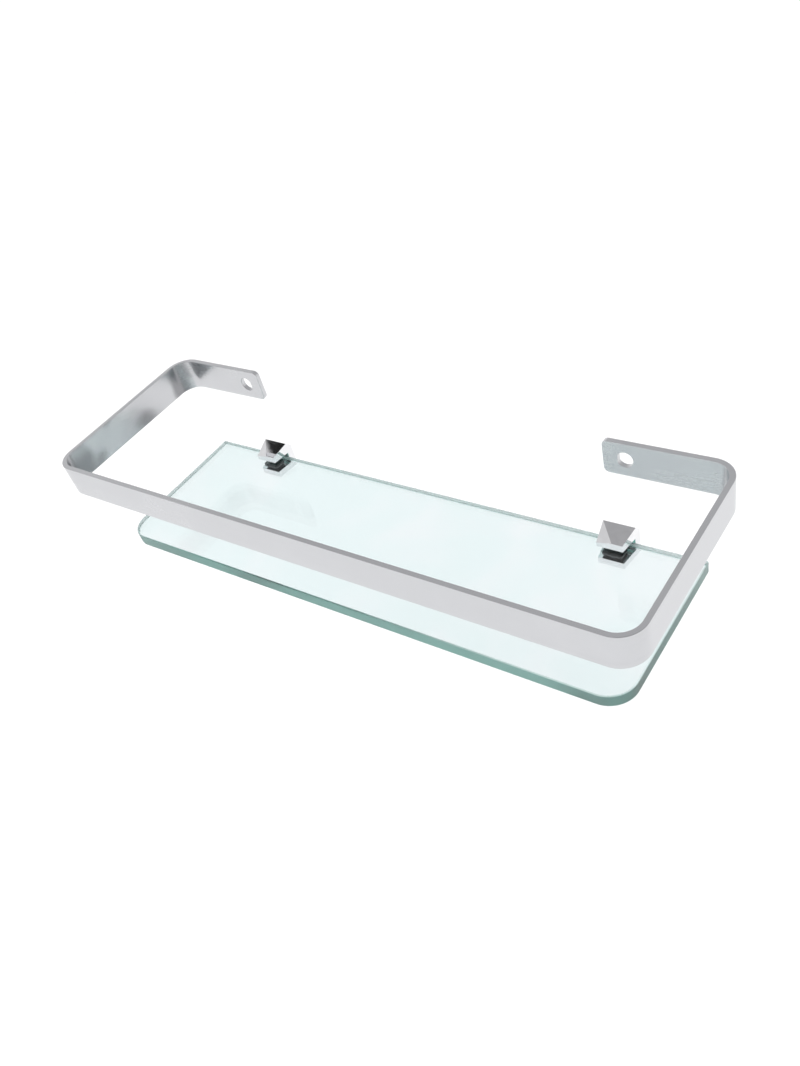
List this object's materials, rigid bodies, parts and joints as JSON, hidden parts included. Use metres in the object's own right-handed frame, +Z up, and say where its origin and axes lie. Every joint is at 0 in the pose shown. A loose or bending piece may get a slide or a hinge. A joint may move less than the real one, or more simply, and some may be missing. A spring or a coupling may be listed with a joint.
{
  "type": "wall shelf with brackets",
  "caption": "Rounded clear glass shelf plate held at its back edge by screw clamps, with a bent flat-bar guard rail fixed to the wall above it.",
  "frame": {"origin": "on the wall plane, midway between the clamps, level with the middle of the glass and with the clamps' wall-screw holes", "axes": "+X to the right along the shelf, -Y out of the wall towards the user, +Z up"},
  "size_m": [0.38, 0.119, 0.08],
  "materials": {
    "glass": "clear float glass with ground edges",
    "rail": "polished flat bar with a fine drawn grain",
    "clip": "bright chromed die casting",
    "cushion": "clear soft vinyl",
    "shoe": "black nylon",
    "screw": "plain zinc-plated steel"
  },
  "bodies": {
    "root": {"guard_rail": "rail", "glass_shelf": "glass", "left_clip_body": "clip", "right_clip_body": "clip", "left_upper_pad": "cushion", "right_upper_pad": "cushion", "left_edge_pad": "cushion", "right_edge_pad": "cushion"},
    "left_shoe": {"left_pressure_shoe": "shoe"},
    "right_shoe": {"right_pressure_shoe": "shoe"},
    "left_screw": {"left_clamp_screw": "screw"},
    "right_screw": {"right_clamp_screw": "screw"}
  },
  "joints": [
    {"name": "left_shoe_lift", "type": "slide", "parent": "root", "child": "left_shoe", "axis": [0, 0, 1], "range_m": [-0.0012, 0]},
    {"name": "left_screw_turn", "type": "hinge", "parent": "left_shoe", "child": "left_screw", "pos_m": [-0.125, -0.0112, 0], "axis": [0, 0, 1], "range_deg": [-540, 0]},
    {"name": "right_shoe_lift", "type": "slide", "parent": "root", "child": "right_shoe", "axis": [0, 0, 1], "range_m": [-0.0012, 0]},
    {"name": "right_screw_turn", "type": "hinge", "parent": "right_shoe", "child": "right_screw", "pos_m": [0.125, -0.0112, 0], "axis": [0, 0, 1], "range_deg": [-540, 0]}
  ],
  "couplings": [
    {"joint": "left_screw_turn", "follows": "left_shoe_lift", "rad_per_m": 7853.9},
    {"joint": "right_screw_turn", "follows": "right_shoe_lift", "rad_per_m": 7853.9}
  ]
}
